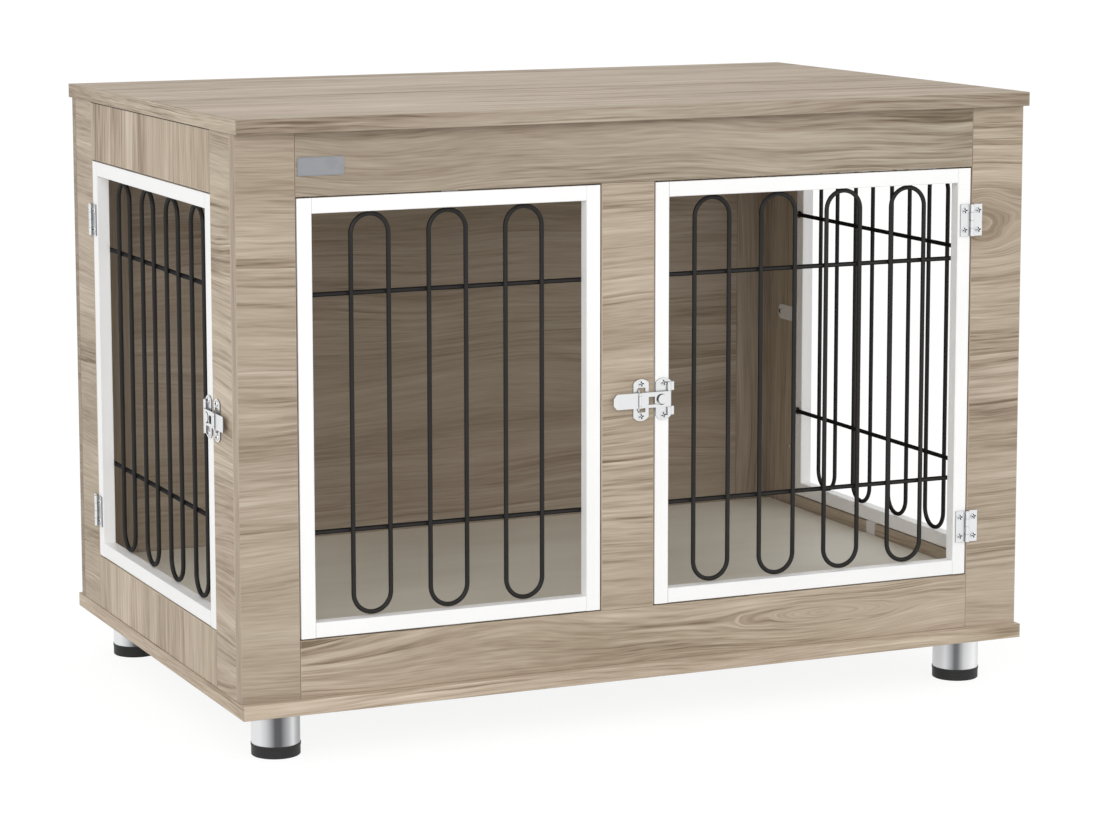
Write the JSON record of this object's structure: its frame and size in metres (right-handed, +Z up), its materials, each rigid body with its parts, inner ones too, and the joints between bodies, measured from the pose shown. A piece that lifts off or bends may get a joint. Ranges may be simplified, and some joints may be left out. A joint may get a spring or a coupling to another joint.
{
  "type": "pet crate",
  "caption": "Furniture-style pet crate with a wood-grain cabinet on tube legs, barred doors in the front and one side, barred windows and flap latches.",
  "frame": {"origin": "on the ground under the middle of the top board", "axes": "+X to the right seen from the front, +Y to the back, +Z up; the front faces -Y"},
  "size_m": [0.9057, 0.58, 0.65],
  "materials": {
    "laminate": "matt wood-grain laminate",
    "floor_laminate": "plain matt laminate",
    "white_frame": "smooth white lacquer",
    "black_wire": "satin black coating",
    "nickel": "bright nickel plating",
    "steel": "brushed",
    "black_plastic": "matt"
  },
  "bodies": {
    "crate": {"top_board": "laminate", "base_board": "laminate", "back_panel": "laminate", "floor_bearers": "laminate", "front_left_post": "laminate", "front_right_post": "laminate", "front_center_stile": "laminate", "front_top_rail": "laminate", "front_bottom_rail": "laminate", "left_front_post": "laminate", "left_rear_post": "laminate", "left_top_rail": "laminate", "left_bottom_rail": "laminate", "right_front_post": "laminate", "right_rear_post": "laminate", "right_top_rail": "laminate", "right_bottom_rail": "laminate", "floor_panel": "floor_laminate", "front_window_stiles": "white_frame", "front_window_rails": "white_frame", "right_window_stiles": "white_frame", "right_window_rails": "white_frame", "front_window_grille": "black_wire", "right_window_grille": "black_wire", "front_window_brackets": "nickel", "right_window_brackets": "nickel", "front_hinge_post_leaves": "nickel", "side_hinge_post_leaves": "nickel", "front_latch_keeper": "nickel", "side_latch_keeper": "nickel", "crate_screws": "nickel", "front_hinge_pins": "steel", "side_hinge_pins": "steel", "leg_tubes": "steel", "leg_bolts": "steel", "leg_feet": "black_plastic"},
    "front_door": {"front_door_stiles": "white_frame", "front_door_rails": "white_frame", "front_door_grille": "black_wire", "front_hinge_door_leaves": "nickel", "front_latch_plate": "nickel", "front_door_screws": "nickel", "front_latch_flap_pin": "steel"},
    "front_flap": {"front_latch_flap": "nickel", "front_latch_lever_pin": "steel"},
    "front_lever": {"front_latch_lever": "nickel"},
    "side_door": {"side_door_stiles": "white_frame", "side_door_rails": "white_frame", "side_door_grille": "black_wire", "side_hinge_door_leaves": "nickel", "side_latch_plate": "nickel", "side_door_screws": "nickel", "side_latch_flap_pin": "steel"},
    "side_flap": {"side_latch_flap": "nickel", "side_latch_lever_pin": "steel"},
    "side_lever": {"side_latch_lever": "nickel"}
  },
  "joints": [
    {"name": "front_door_hinge", "type": "hinge", "parent": "crate", "child": "front_door", "pos_m": [0.38525, -0.2827, 0.265], "axis": [0, 0, 1], "range_deg": [0, 170]},
    {"name": "front_flap_hinge", "type": "hinge", "parent": "front_door", "child": "front_flap", "pos_m": [0.0232, -0.2825, 0.3436], "axis": [0, 0, 1], "range_deg": [0, 135]},
    {"name": "front_lever_hinge", "type": "hinge", "parent": "front_flap", "child": "front_lever", "pos_m": [-0.0112, -0.2851, 0.3436], "axis": [0, 0, 1], "range_deg": [0, 90]},
    {"name": "side_door_hinge", "type": "hinge", "parent": "crate", "child": "side_door", "pos_m": [-0.4517, 0.20625, 0.265], "axis": [0, 0, -1], "range_deg": [0, 170]},
    {"name": "side_flap_hinge", "type": "hinge", "parent": "side_door", "child": "side_flap", "pos_m": [-0.4515, -0.1878, 0.3436], "axis": [0, 0, -1], "range_deg": [0, 135]},
    {"name": "side_lever_hinge", "type": "hinge", "parent": "side_flap", "child": "side_lever", "pos_m": [-0.4541, -0.2222, 0.3436], "axis": [0, 0, -1], "range_deg": [0, 90]}
  ]
}
